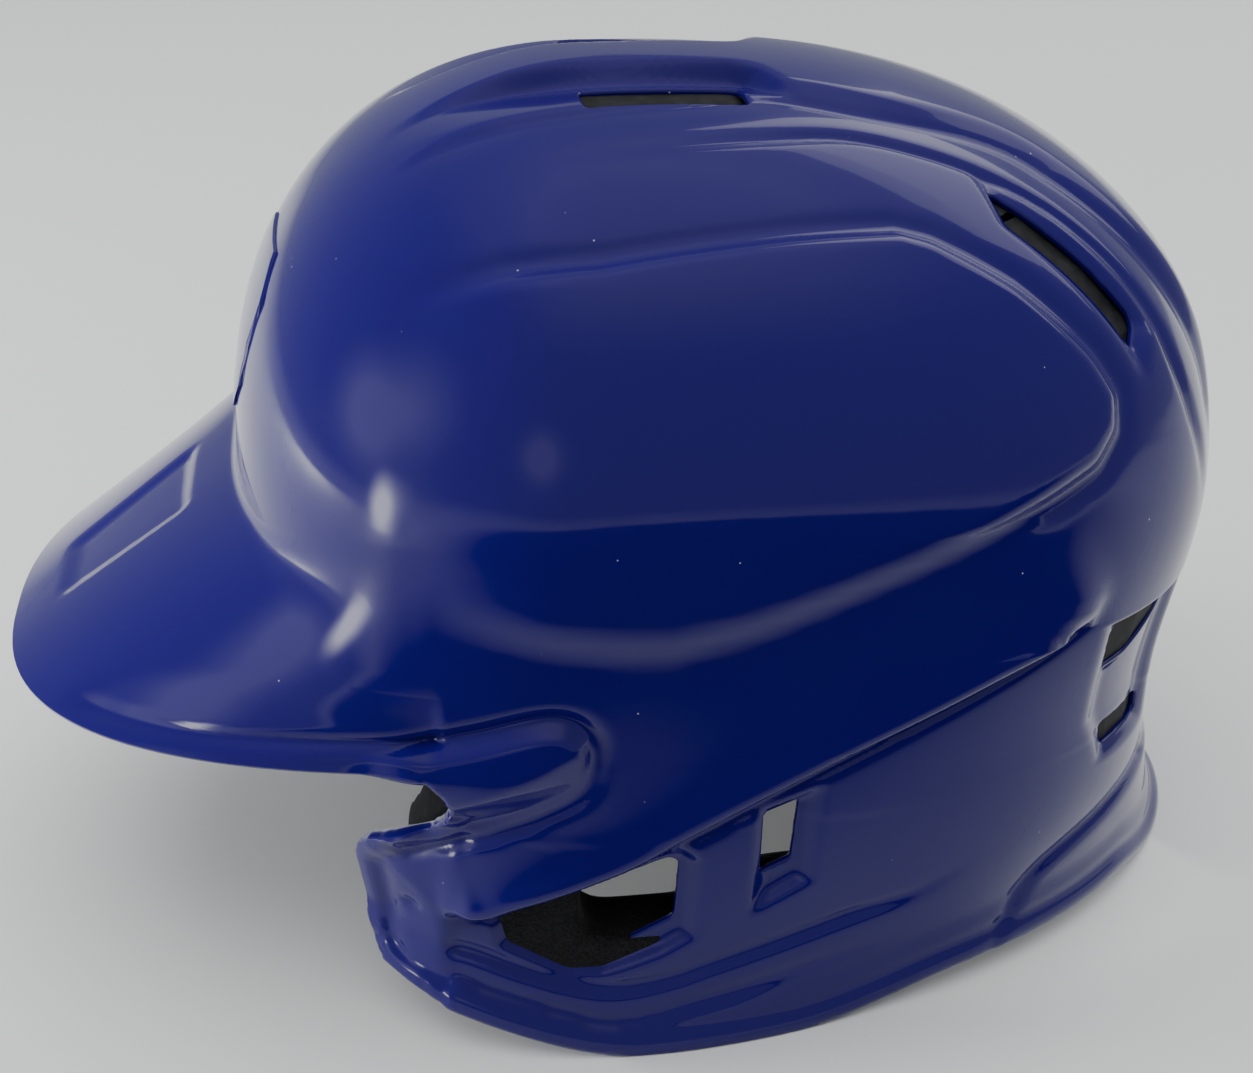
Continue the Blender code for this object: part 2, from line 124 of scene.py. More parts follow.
# Openings and their recesses: side view (y, z), plan (x, y) or rear view (x, z)
EAR_HOLE = ((-35, 35), (5, 52), (4, 34), (-13, 25), (-18, 24), (-33, 33))
EAR_RECESS = (
    (-39, 38), (-37, 27), (-21, 18.5), (-12, 18.5), (2.5, 24.5), (9.5, 29), (10, 52), (6, 56.5), (-14, 49.5),
)
SIDE_SLOT = ((24, 62), (32, 65), (31, 48), (24, 45))
SLOT_RECESS = ((22, 64.5), (37.5, 70), (36.5, 42), (21, 33.5))
FRONT_CUT = (
    (-150, -30), (-64.5, -30), (-64.5, 17.2), (-66.8, 20.5), (-68, 26), (-68, 44), (-66.6, 48), (-63.5, 51.8),
    (-50, 60), (-46.2, 63.6), (-44.4, 68), (-44.4, 72), (-46, 75.4), (-50, 79), (-56, 86), (-60, 95), (-150, 95),
)
REAR_VENT = ((54, 90), (79, 92), (76, 78), (54, 87))
NAPE_SLOT = ((53, 57), (71, 60), (70, 54), (53, 52))
REAR_RECESS = ((50, 94), (82, 96), (78.5, 66), (73, 51), (50, 48))
TOP_VENT = ((16.5, -8), (29, -8), (26.5, 29), (17, 28))
UPPER_VENT_SPOT = (54.0, 95.0)
UPPER_VENT_SIZE = (7.0, 36.0)
UPPER_VENT_TOE = 22.0

# Crease lines of the shell, as points (x, y, z) or, on the side wall, (y, z)
PANEL_EDGE = (
    (65, -50, 176), (68, -30, 182), (71, -10, 185), (70, 6, 187), (67, 30, 188), (63, 54, 187), (63.5, 62, 185),
    (67, 80, 175), (72, 98, 160), (74.5, 104, 151), (78, 103, 143), (83, 97, 136.5), (93, 73, 128), (98, 44, 119),
    (99.5, 20, 111), (100, 2, 107), (100, -9, 107.5), (97, -28, 110), (92, -46, 113.5),
)
BELT = (
    (-50, 35), (-38, 37.5), (-30, 42), (-16, 48), (-4, 53), (9, 60.5), (25, 69), (44, 78), (69, 88), (90, 96),
    (107, 104),
)
RIM_LINE = ((-49, 24.5), (-41, 23), (-21, 16.5), (-8, 14), (4, 15.5), (15, 19), (44, 27), (62, 30.5), (81, 38))
RIM_FOLD = ((-47, 19), (-41, 17), (-21, 10), (-13, 7), (-2, 7), (15, 11), (44, 18), (70, 21))
NAPE_LINE = ((81, 4), (90, 12), (100, 24), (121, 30), (136, 31))
TAB_LINE = (
    (-66, 79), (-55, 82.5), (-40, 87.5), (-27, 91.5), (-20, 91), (-15.5, 86), (-15.5, 79), (-18, 73.5), (-25, 69),
    (-39, 61.5), (-50, 57), (-62, 50),
)
TAB_CREASE = ((-50, 70), (-44, 73), (-32, 78.5), (-19, 85))
FLAP_CREASE = ((-70, 57), (-61, 48), (-50.5, 35.5), (-51, 10))
BAND_EDGE = (
    (32, -52, 192), (30, -39, 199), (30, -22, 203), (30, -9, 205), (27, 14, 205), (24, 30, 205), (24, 41, 204),
    (26, 58, 201), (25, 88, 192), (29, 101, 185), (32, 111, 178), (35, 122, 168), (37, 132, 157), (38, 139, 141),
    (41, 141, 128), (49, 139, 112),
)
BAND_GROOVE = (
    (46, -30, 197), (45, 6, 201), (42, 30, 202), (38, 50, 200), (39, 69, 195), (41, 83, 189), (44, 96, 182),
    (49, 109, 171), (54, 119, 159), (58, 124, 146), (58, 130, 128), (54, 137, 110),
)
BRIM_PANEL = ((-12.5, 136), (12.5, 136), (16, 104), (-16, 104))
CHANNEL_FAR = ((-54, -40, -24, 7, 45), (13, 10, 8, 8, 8))  # y, and x of the top vent channel's far side
CHANNEL_NEAR = ((-54, -40, -22, -9, 14, 28, 45), (22, 26, 29, 30, 28, 26, 24))
CHANNEL_END = (23.0, 41.0)  # a point of the channel's slanted rear end, and the way that end runs
CHANNEL_END_RUN = (15.0, 10.0)

# Relief, millimetres: heights and depths, and the widths of their ramps and grooves
PANEL_STEP = 3.1
PANEL_RAMP = 5.6
PANEL_GROOVE = (0.9, 1.4, 2.5)  # each groove: depth, distance from its line, width
BELT_HEIGHT = 2.9
BELT_ROUND = 4.0
BELT_FADES = (15.0, 26.0)
BELT_HOLLOW = 0.7
BELT_HOLLOW_FADE = 9.0
BELT_GROOVE = (1.1, -1.4, 2.0)
LEDGE_DEPTH = 2.1
LEDGE_RAMP = 2.5
LEDGE_GROOVE = (0.7, 1.2, 1.9)
RIM_LEDGE_FADE = 14.0
NAPE_LEDGE_FADE = 12.0
FOLD_HEIGHT = 1.3
FOLD_RAMP = 2.2
FOLD_GROOVE = (0.7, 1.0, 1.9)
RIM_LIP = (0.9, 5.0, 2.8)  # each lip: height, where it ends, width of its inner side
RIM_LIP_GROOVE = (0.5, 5.6, 1.9)
TAB_HEIGHT = 2.2
TAB_RAMP = 2.8
TAB_CROWN = (0.13, 14.0)  # each slope: rise per millimetre, and how far it runs
TAB_GROOVE = (1.7, 1.3, 1.9)
TAB_FACET = (0.36, 11.0)
FLAP_FACET = (0.24, 20.0)
FLAP_LIP = (1.4, 5.0, 3.0)
FLAP_LIP_GROOVE = (0.6, 5.8, 2.0)
EAR_RECESS_STEP = (3.3, 3.6)  # each step: depth, width of its ramp
SLOT_RECESS_STEP = (3.1, 3.6)
REAR_RECESS_STEP = (2.8, 4.0)
SCREW_DIMPLE = (-56.5, 35.0)
SCREW_DEPTH = 1.4
SCREW_WIDTH = 1.6
BAND_STEP = 1.6
BAND_RAMP = 2.8
BAND_FADE = 14.0
BAND_GROOVE_SHAPE = (1.7, 0.0, 1.7)
CENTRE_RISE = 2.0
CHANNEL_DEPTH = 3.6
CHANNEL_WALL = 4.0
CHANNEL_END_WALL = 3.0
VENT_BEVEL = (2.0, 3.5)
VENT_BEVEL_START = 2.2
VENT_MARGIN = 1.5
BORDER_STEP = 0.9
BORDER_GROOVE = (1.2, 0.0, 1.7)
PANEL_SINK = (1.1, 2.0)

SHARP_ANGLE = 40.0  # degrees from which an edge is shaded sharp
PAD_VOXEL = 0.0016  # metres
PAD_ROUNDS = 7
BADGE_BEVEL = 0.0014  # metres
BADGE_SEGMENTS = 4
BADGE_KEEP = 0.3  # share of the CAD badge's height over the wall that shows
WELD = 1e-5  # metres

BLUE = (0.006, 0.0, 0.105)
DUST = (0.35, 0.36, 0.45)
WHITE = (1.0, 1.0, 1.0)
BLACK = (0.0, 0.0, 0.0)
MIX_A, MIX_B, MIX_RESULT = 6, 7, 2  # the colour sockets of a mix node

FLOOR_SIZE = 8.0
FLOOR_DROP = 0.0005
CAMERA_TARGET = Vector((0.0, MIDDLE_Y * MM, 0.088))
CAMERA_DISTANCE = 0.5054
CAMERA_AZIMUTH = 82.4
CAMERA_ELEVATION = 28.0
CAMERA_ROLL = 0.26
CAMERA_LENS = 55.9
CAMERA_SHIFT = (0.0195, -0.0164)
SKY = (0.9, 0.94, 1.0)
SKY_STRENGTH = 0.36
CARD_LIFT = 0.002


def smooth(x):
    """Ease from 0 to 1."""
    x = np.clip(x, 0.0, 1.0)
    return x * x * (3.0 - 2.0 * x)


def crisp(x):
    """Straight ramp from 0 to 1 with small rounded corners."""
    return 0.75 * np.clip(x, 0.0, 1.0) + 0.25 * smooth(x)


def wall_radius(angle, height):
    """Distance from the vertical axis to the shell's wall."""
    level = np.clip((height - WIDEST_HEIGHT) / CROWN_RISE, 0.0, 1.0)
    shrink = (1.0 - level**CROWN_FULLNESS) ** (1.0 / CROWN_FULLNESS)
    waist = smooth((WIDEST_HEIGHT - height) / (WIDEST_HEIGHT - WAIST_HEIGHT))
    skirt = np.clip((WAIST_HEIGHT - height) / WAIST_HEIGHT, 0.0, 1.0) ** 1.5
    half = np.maximum(HALF_WIDTH * shrink - skirt, 1e-6)
    front = np.maximum(FRONT_REACH * shrink, 1e-6)
    rear = np.maximum(REAR_REACH * shrink - REAR_TUCK * waist + NAPE_FLARE * skirt, 1e-6)
    front_full = FRONT_FULLNESS - (FRONT_FULLNESS - TOP_FULLNESS) * level**1.5
    rear_full = REAR_FULLNESS - (REAR_FULLNESS - TOP_FULLNESS) * level**1.5
    rear_full = rear_full - WAIST_FULLNESS_LOSS * waist - NAPE_FULLNESS_LOSS * skirt
    ahead = np.cos(angle)
    reach = np.where(ahead > 0.0, front, rear)
    full = np.where(ahead > 0.0, front_full, rear_full)
    size = (np.abs(np.sin(angle)) / half) ** full + (np.abs(ahead) / reach) ** full
    return size ** (-1.0 / full)


def brim_edge(angle):
    """Radius and height of the brim's edge."""
    size = (abs(math.sin(angle)) / BRIM_HALF_WIDTH) ** BRIM_FULLNESS
    size += (math.cos(angle) / BRIM_REACH) ** BRIM_FULLNESS
    radius = size ** (-1.0 / BRIM_FULLNESS)
    tip = WIDEST_HEIGHT + BROW_RISE - TIP_DROP
    return radius, tip + BRIM_ARCH * (radius * math.sin(angle) / BRIM_HALF_WIDTH) ** 2


def brim_rows(angle):
    """Radii and heights from the dome's foot, round the root fillet and out to the brim's edge."""
    root = WIDEST_HEIGHT + BROW_RISE
    share = float(smooth((angle / math.radians(NOTCH_ANGLE) - ROOT_SHARE_START) / ROOT_SHARE_SPAN))
    fillet = ROOT_FILLET_FRONT + (ROOT_FILLET_SIDE - ROOT_FILLET_FRONT) * share
    start = root + min(fillet, ROOT_RISE_FRONT + ROOT_RISE_GAIN * share)
    corner = np.array([float(wall_radius(angle, root)), root])
    top = np.array([float(wall_radius(angle, start)), start])
    edge = np.array(brim_edge(angle))
    run = edge - corner
    foot = corner + run * min(fillet / np.linalg.norm(run), 0.5)
    t = np.linspace(0.0, 1.0, FILLET_ROWS + 1)[:, None]
    curve = (1 - t) ** 2 * top + 2 * t * (1 - t) * corner + t * t * foot
    line = foot + (edge - foot) * np.linspace(0.0, 1.0, BRIM_ROWS + 1)[1:, None]
    return np.vstack([curve, line])


def rim_height(y):
    """Lower edge of the shell."""
    chin = CHIN_RISE * smooth((CHIN_FROM - y) / CHIN_RUN) ** CHIN_CURVE
    nape = smooth((y - NAPE_SHARE * REAR_REACH) / ((1.0 - NAPE_SHARE) * REAR_REACH))
    neck = NECK_RISE * smooth((y - NECK_FROM) / NECK_RUN) * (1.0 - nape)
    return chin + neck


def skin_grid():
    """Base skin of the left half: radii and heights, one row per column, and the last row of the brim."""
    angles = np.linspace(0.0, math.pi, COLUMNS + 1)
    notch = math.radians(NOTCH_ANGLE)
    at_notch = brim_rows(notch)
    extra = at_notch[:, 0] - wall_radius(notch, at_notch[:, 1])
    radii, heights = [], []
    for angle in angles:
        fade = 1.0 - float(smooth((angle - notch) / math.radians(TAB_FADE_ANGLE)))
        if angle <= notch:
            low = brim_rows(angle)
        else:
            low = np.column_stack([wall_radius(angle, at_notch[:, 1]) + extra * fade, at_notch[:, 1]])
        last = math.asin((low[0, 1] - WIDEST_HEIGHT) / CROWN_RISE)
        rise = np.linspace(0.5 * math.pi, last, DOME_ROWS + 1)[:-1]
        dome = WIDEST_HEIGHT + CROWN_RISE * np.sin(rise)
        y = -float(wall_radius(angle, RIM_BAND)) * math.cos(angle)
        base = float(rim_height(y))
        wall = low[-1, 1] + (base - low[-1, 1]) * np.arange(1, WALL_ROWS + 1) / WALL_ROWS
        spread = 1.0 - smooth((low[-1, 1] - wall) / (low[-1, 1] - NOTCH_LEVEL))
        spread = spread * (low[-1, 0] - wall_radius(angle, low[-1, 1]))
        flare = RIM_FLARE * smooth((base + RIM_BAND - wall) / RIM_BAND)
        foot = wall_radius(angle, wall) + spread + flare
        radii.append(np.concatenate([wall_radius(angle, dome), low[:, 0], foot]))
        heights.append(np.concatenate([dome, low[:, 1], wall]))
    radii, heights = np.array(radii), np.array(heights)
    radii[:, 0] = 0.0
    brim_last = DOME_ROWS + FILLET_ROWS + BRIM_ROWS
    degrees = np.degrees(angles)
    loose = 0.5 * smooth((degrees - EASE_FROM) / EASE_FADE) * (1.0 - smooth((degrees - EASE_TO) / EASE_FADE))
    loose = loose[1:-1, None] * smooth((np.arange(radii.shape[1]) - 0.9 * DOME_ROWS) / 10.0)[None, :]
    for _ in range(EASE_ROUNDS):
        for field in (radii, heights):
            field[1:-1] += loose * (0.5 * field[:-2] + 0.5 * field[2:] - field[1:-1])
    return angles, radii, heights, brim_last


def normals_of(points):
    """Outward unit normals of a grid of points, columns first; the crown's row points up."""
    across = np.empty_like(points)
    across[1:-1] = points[2:] - points[:-2]
    across[0] = (points[1] - points[0]) * (1.0, 0.0, 0.0)
    across[-1] = (points[-1] - points[-2]) * (1.0, 0.0, 0.0)
    down = np.empty_like(points)
    down[:, 1:-1] = points[:, 2:] - points[:, :-2]
    down[:, 0] = points[:, 1] - points[:, 0]
    down[:, -1] = points[:, -1] - points[:, -2]
    normal = np.cross(down, across)
    normal[:, 0] = (0.0, 0.0, 1.0)
    return normal / np.maximum(np.linalg.norm(normal, axis=2, keepdims=True), 1e-9)


def curve_through(points, per=7, straight=False):
    """Catmull-Rom curve through points, or straight runs between them."""
    p = np.array(points, float)
    if straight:
        places = np.arange(0.0, len(p) - 1 + 1e-6, 1.0 / per)
        corners = np.arange(len(p))
        return np.column_stack([np.interp(places, corners, p[:, k]) for k in range(p.shape[1])])
    p = np.vstack([2 * p[0] - p[1], p, 2 * p[-1] - p[-2]])
    out = []
    for k in range(1, len(p) - 2):
        for t in np.arange(per) / per:
            slope = p[k + 1] - p[k - 1]
            curve = 2 * p[k - 1] - 5 * p[k] + 4 * p[k + 1] - p[k + 2]
            twist = 3 * p[k] - p[k - 1] - 3 * p[k + 1] + p[k + 2]
            out.append(0.5 * (2 * p[k] + slope * t + curve * t**2 + twist * t**3))
    out.append(p[-2])
    return np.array(out)


def swell_at(angle, height):
    """How far the side wall behind the brim stands outside the plain wall."""
    notch = math.radians(NOTCH_ANGLE)
    edge_radius, edge_height = brim_edge(notch)
    full = edge_radius - wall_radius(notch, edge_height)
    fade = 1.0 - smooth((np.abs(angle) - notch) / math.radians(TAB_FADE_ANGLE))
    above = (SWELL_TOP - height) / (SWELL_TOP - edge_height)
    below = 1.0 - smooth((edge_height - height) / SWELL_DROP)
    return full * fade * np.clip(np.where(height > edge_height, above, below), 0.0, 1.0)


def on_side(points):
    """Side-view points (y, z) laid on the left side wall."""
    p = curve_through(points)
    low, high = np.full(len(p), 0.02), np.full(len(p), math.pi - 0.02)
    for _ in range(40):
        middle = 0.5 * (low + high)
        ahead = -wall_radius(middle, p[:, 1]) * np.cos(middle) < p[:, 0]
        low, high = np.where(ahead, middle, low), np.where(ahead, high, middle)
    r = wall_radius(low, p[:, 1]) + swell_at(low, p[:, 1])
    return np.column_stack([r * np.sin(low), -r * np.cos(low), p[:, 1]])


def on_dome(points, straight=False):
    """Points (x, y, z) moved onto the dome, along a line from the axis at the widest level."""
    p = curve_through(points, straight=straight)
    angle = np.arctan2(p[:, 0], -p[:, 1])
    reach = np.hypot(p[:, 0], p[:, 1])
    rise = p[:, 2] - WIDEST_HEIGHT
    low, high = np.full(len(p), 0.2), np.full(len(p), 3.0)
    for _ in range(50):
        middle = 0.5 * (low + high)
        inside = (reach * middle < wall_radius(angle, WIDEST_HEIGHT + rise * middle)) & (rise * middle < CROWN_RISE)
        low, high = np.where(inside, middle, low), np.where(inside, high, middle)
    return np.column_stack([reach * low * np.sin(angle), -reach * low * np.cos(angle), WIDEST_HEIGHT + rise * low])


def signed_distance(points, normals, line):
    """Distance to a line on the skin, and the place along it, 0 to 1.

    The distance is positive on the line's left when seen from outside.
    """
    best = np.full(len(points), 1e9)
    side = np.zeros(len(points))
    along = np.zeros(len(points))
    for k in range(len(line) - 1):
        start, step = line[k], line[k + 1] - line[k]
        size = float(step @ step)
        if size < 1e-9:
            continue
        away = points - start
        t = np.clip(away @ step / size, 0.0, 1.0)
        gap = away - t[:, None] * step
        square = np.einsum("ij,ij->i", gap, gap)
        near = square < best
        best[near] = square[near]
        side[near] = np.einsum("ij,ij->i", np.cross(normals[near], step), gap[near])
        along[near] = (k + t[near]) / (len(line) - 1)
    return np.sqrt(best) * np.where(side >= 0.0, 1.0, -1.0), along


def outline_distance(first, second, outline):
    """Signed distance to a closed outline in a flat view, positive inside."""
    p = np.column_stack([first, second])
    corners = np.array(outline, float)
    best = np.full(len(p), 1e9)
    inside = np.zeros(len(p), bool)
    for a, b in zip(corners, np.roll(corners, -1, axis=0)):
        step = b - a
        t = np.clip((p - a) @ step / float(step @ step), 0.0, 1.0)
        gap = p - a - t[:, None] * step
        best = np.minimum(best, np.einsum("ij,ij->i", gap, gap))
        crosses = (a[1] > p[:, 1]) != (b[1] > p[:, 1])
        with np.errstate(divide="ignore", invalid="ignore"):
            at = a[0] + (p[:, 1] - a[1]) * (b[0] - a[0]) / (b[1] - a[1])
        inside ^= crosses & (p[:, 0] < at)
    return np.sqrt(best) * np.where(inside, 1.0, -1.0)


def shrunk(outline, amount):
    """Outline moved inwards; with its distance lowered by the same amount, its corners come out round."""
    p = np.array(outline, float)
    before, after = np.roll(p, 1, axis=0), np.roll(p, -1, axis=0)
    turn = 0.5 * float(np.sum(p[:, 0] * after[:, 1] - after[:, 0] * p[:, 1]))
    sign = 1.0 if turn > 0 else -1.0
    d1 = (p - before) / np.linalg.norm(p - before, axis=1, keepdims=True)
    d2 = (after - p) / np.linalg.norm(after - p, axis=1, keepdims=True)
    n1 = sign * np.column_stack([-d1[:, 1], d1[:, 0]])
    n2 = sign * np.column_stack([-d2[:, 1], d2[:, 0]])
    bisector = n1 + n2
    return p + amount * bisector * (2.0 / np.sum(bisector * bisector, axis=1, keepdims=True))


def round_distance(first, second, outline, radius):
    """Signed distance to an outline with rounded corners, positive inside."""
    return outline_distance(first, second, shrunk(outline, radius)) + radius


def upper_vent_outline(grow=0.0):
    """Plan outline of the left upper rear vent."""
    width, length = UPPER_VENT_SIZE[0] + 2 * grow, UPPER_VENT_SIZE[1] + 2 * grow
    toe = math.radians(UPPER_VENT_TOE)
    outline = []
    for across, along in ((-0.5, -0.5), (0.5, -0.32), (0.5, 0.5), (-0.5, 0.5)):
        x = UPPER_VENT_SPOT[0] + across * width * math.cos(toe) + along * length * math.sin(toe)
        y = UPPER_VENT_SPOT[1] - across * width * math.sin(toe) + along * length * math.cos(toe)
        outline.append((x, y))
    return outline


def bump(distance, width):
    """Soft ridge, 1 on the line."""
    return np.exp(-((distance / width) ** 2))


def groove(distance, shape):
    """Depth of a groove: shape is its depth, its distance from the line, and its width."""
    depth, at, width = shape
    return depth * bump(distance - at, width)


def lip(distance, shape):
    """Height of a lip along an edge: shape is its height, where it ends, and the width of its inner side."""
    height, end, width = shape
    return height * smooth((end - distance) / width)


def sunk(inside, shape, start=0.0):
    """Depth of a recess at a distance inside its outline: shape is its depth and the width of its ramp."""
    depth, width = shape
    return depth * crisp((inside + start) / width)


def faded(along, start, finish):
    """1 along a line, easing to 0 over these shares of it at its start and its finish."""
    return smooth(along / start) * (1.0 - smooth((along - (1.0 - finish)) / finish))


def ledge(d, fade):
    """Depth of the hollow above a fold of the lower rim."""
    return LEDGE_DEPTH * crisp(d / LEDGE_RAMP) * np.exp(-np.maximum(d, 0.0) / fade) + groove(d, LEDGE_GROOVE)


def belt_relief(p, n, side_wall):
    """Rolled line that rises from the front of the flap to the rear."""
    d, t = signed_distance(p, n, on_side(BELT))
    ends = faded(t, 0.08, 0.07)
    roll = np.sqrt(np.clip(1.0 - (1.0 - np.clip(d / BELT_ROUND, 0.0, 1.0)) ** 2, 0.0, 1.0))
    roll = roll * np.exp(-np.maximum(d - BELT_ROUND, 0.0) / BELT_FADES[0]) * np.exp(-d / BELT_FADES[1])
    hollow = np.exp(-np.maximum(-d, 0.0) / BELT_HOLLOW_FADE) * smooth(-d)
    swell = 1.0 + 0.9 * smooth((8.0 - p[:, 1]) / 40.0) + 0.5 * smooth((p[:, 1] - 75.0) / 20.0)
    shape = swell * np.where(d > 0, BELT_HEIGHT * roll, -BELT_HOLLOW * hollow)
    return ends * side_wall * (shape - groove(d, BELT_GROOVE))


def foot_relief(p, n, brim_part, wall_part, gap):
    """Folds and lip of the lower rim and nape."""
    x, y, z = p.T
    foot = ~brim_part & (z < 60.0)
    d, t = signed_distance(p, n, on_side(RIM_LINE))
    height = -faded(t, 0.05, 0.25) * foot * ledge(d, RIM_LEDGE_FADE)
    d, t = signed_distance(p, n, on_side(RIM_FOLD))
    height += faded(t, 0.05, 0.4) * foot * (FOLD_HEIGHT * crisp(-d / FOLD_RAMP) - groove(d, FOLD_GROOVE))
    d, t = signed_distance(p, n, on_side(NAPE_LINE))
    height -= smooth(t / 0.4) * (y > 60.0) * foot * ledge(d, NAPE_LEDGE_FADE)
    return height + (lip(gap, RIM_LIP) - groove(gap, RIM_LIP_GROOVE)) * foot * wall_part * (x > 0.0)


def tab_relief(p, n, side_wall, wall_part):
    """Raised tab that carries the brim past the notch, with its two facets."""
    x, y, z = p.T
    d, t = signed_distance(p, n, on_side(TAB_LINE))
    near_tab = (y < 0) * (z < 110) * side_wall * (x > 60)
    on_tab = crisp(-d / TAB_RAMP) * smooth((y + 66.0) / 14.0) * near_tab
    line = (t > 0.03) * (t < 0.97) * smooth((y + 64.0) / 12.0) * near_tab
    crown = TAB_HEIGHT + TAB_CROWN[0] * np.clip(-d, 0.0, TAB_CROWN[1])
    height = on_tab * crown - groove(d, TAB_GROOVE) * line
    d, _ = signed_distance(p, n, on_side(TAB_CREASE))
    facet = TAB_FACET[0] * np.clip(-d, 0.0, TAB_FACET[1])
    return height - facet * on_tab * smooth((y + 58.0) / 8.0) * wall_part


def flap_relief(p, n, brim_part, wall_part, gap):
    """Front facet and rolled front edge of the ear flap."""
    _, y, z = p.T
    d, _ = signed_distance(p, n, on_side(FLAP_CREASE))
    on_flap = ~brim_part * wall_part
    height = -FLAP_FACET[0] * np.clip(-d, 0.0, FLAP_FACET[1]) * (y < -40) * (z < 62) * on_flap
    front = -outline_distance(y, z, FRONT_CUT)
    at_edge = (y < -42) * (z < 66) * (z > 14) * on_flap * smooth((gap - 2.0) / 5.0)
    return height + at_edge * (lip(front, FLAP_LIP) - groove(front, FLAP_LIP_GROOVE))


def recess_relief(p, side_wall):
    """Recesses round the ear opening, side slot and rear vents, and the screw dimple."""
    x, y, z = p.T
    height = -sunk(round_distance(y, z, EAR_RECESS, 1.0), EAR_RECESS_STEP) * side_wall * (z < 62)
    height -= sunk(round_distance(y, z, SLOT_RECESS, 0.6), SLOT_RECESS_STEP) * side_wall * (z < 74)
    from_screw = np.hypot(y - SCREW_DIMPLE[0], z - SCREW_DIMPLE[1])
    height -= SCREW_DEPTH * bump(from_screw, SCREW_WIDTH) * side_wall
    return height - sunk(round_distance(x, z, REAR_RECESS, 1.0), REAR_RECESS_STEP) * (y > 60.0)


def top_relief(p, n):
    """Centre band, its grooves, the top vents' channels and the upper rear vents' bevels."""
    x, y, z = p.T
    upper = z > 106.0
    d, t = signed_distance(p, n, on_dome(BAND_EDGE))
    outside = crisp((-d + 1.0) / BAND_RAMP) * np.exp(-np.maximum(-d, 0.0) / BAND_FADE)
    height = -BAND_STEP * faded(t, 0.1, 0.1) * outside * upper
    centre = smooth(d / 6.0) * smooth((y + 50.0) / 40.0) * (1.0 - smooth((170.0 - z) / 60.0)) * upper
    d, t = signed_distance(p, n, on_dome(BAND_GROOVE))
    height -= faded(t, 0.25, 0.15) * groove(d, BAND_GROOVE_SHAPE) * upper

    far, near = np.interp(y, *CHANNEL_FAR), np.interp(y, *CHANNEL_NEAR)
    fall = crisp((x - far) / CHANNEL_WALL)
    climb = np.clip((near - x) / (near - far - CHANNEL_WALL), 0.0, 1.0)
    run_x, run_y = CHANNEL_END_RUN
    back = ((CHANNEL_END[1] - y) * run_x - (CHANNEL_END[0] - x) * run_y) / math.hypot(run_x, run_y)
    within = fall * crisp(back / CHANNEL_END_WALL)
    height += CENTRE_RISE * centre * (1.0 - within * (y < CHANNEL_END[1]))
    height -= CHANNEL_DEPTH * within * climb * smooth((y + 54.0) / 40.0) * (x < near) * (z > 170.0)
    d = outline_distance(x, y, upper_vent_outline(VENT_MARGIN))
    return height - sunk(d, VENT_BEVEL, VENT_BEVEL_START) * (z > 130.0)


def brim_relief(p, brim_part, edge_gap):
    """Border of the brim's sides and its sunk centre panel."""
    x, y, _ = p.T
    border = edge_gap - np.interp(y, (-130, -50), (4.6, 6.4))
    step = BORDER_STEP * (smooth((border + 0.8) / 1.6) - smooth((border - 1.5) / 14.0))
    height = -smooth((x - 50.0) / 12.0) * brim_part * (step + groove(border, BORDER_GROOVE))
    return height - sunk(round_distance(x, -y, BRIM_PANEL, 1.0), PANEL_SINK, 0.8) * brim_part


def relief(p, n, row, edge_gap):
    """Height of the moulded relief over the base skin, for the left half's points."""
    x, y, z = p.T
    brim_last = DOME_ROWS + FILLET_ROWS + BRIM_ROWS
    side_wall = smooth((x - 40.0) / 20.0)
    wall_part = row >= DOME_ROWS
    brim_part = (row > DOME_ROWS + FILLET_ROWS) & (row <= brim_last) & (y < -48.0)
    gap = z - rim_height(y)

    d, _ = signed_distance(p, n, on_dome(PANEL_EDGE, straight=True))
    shown = smooth((y + 54.0) / 34.0) * side_wall * ~brim_part
    height = (PANEL_STEP * smooth(-d / PANEL_RAMP) - groove(d, PANEL_GROOVE)) * shown
    height += belt_relief(p, n, side_wall)
    height += foot_relief(p, n, brim_part, wall_part, gap)
    height += tab_relief(p, n, side_wall, wall_part)
    height += flap_relief(p, n, brim_part, wall_part, gap)
    height += recess_relief(p, side_wall)
    height += top_relief(p, n)
    height += brim_relief(p, brim_part, edge_gap)
    return height


def keep_field(p, row, brim_last):
    """Positive where the skin stays, negative in openings."""
    x, y, z = p.T
    side = (row > DOME_ROWS) & (x > 60)
    rear = y > 60
    top = z > WIDEST_HEIGHT + 20.0
    keep = np.full(len(p), FAR_AWAY)
    keep = np.where(row >= brim_last, np.minimum(keep, -outline_distance(y, z, FRONT_CUT)), keep)
    for part, first, second, outline, radius in (
        (side, y, z, EAR_HOLE, 2.2),
        (side, y, z, SIDE_SLOT, 0.8),
        (rear, x, z, REAR_VENT, 1.5),
        (rear, x, z, NAPE_SLOT, 0.8),
        (top, x, y, TOP_VENT, 1.0),
        (top, x, y, upper_vent_outline(), 1.2),
    ):
        opened = -round_distance(first, second, outline, radius) - OPENING_EASE
        keep = np.where(part, np.minimum(keep, opened), keep)
    return keep


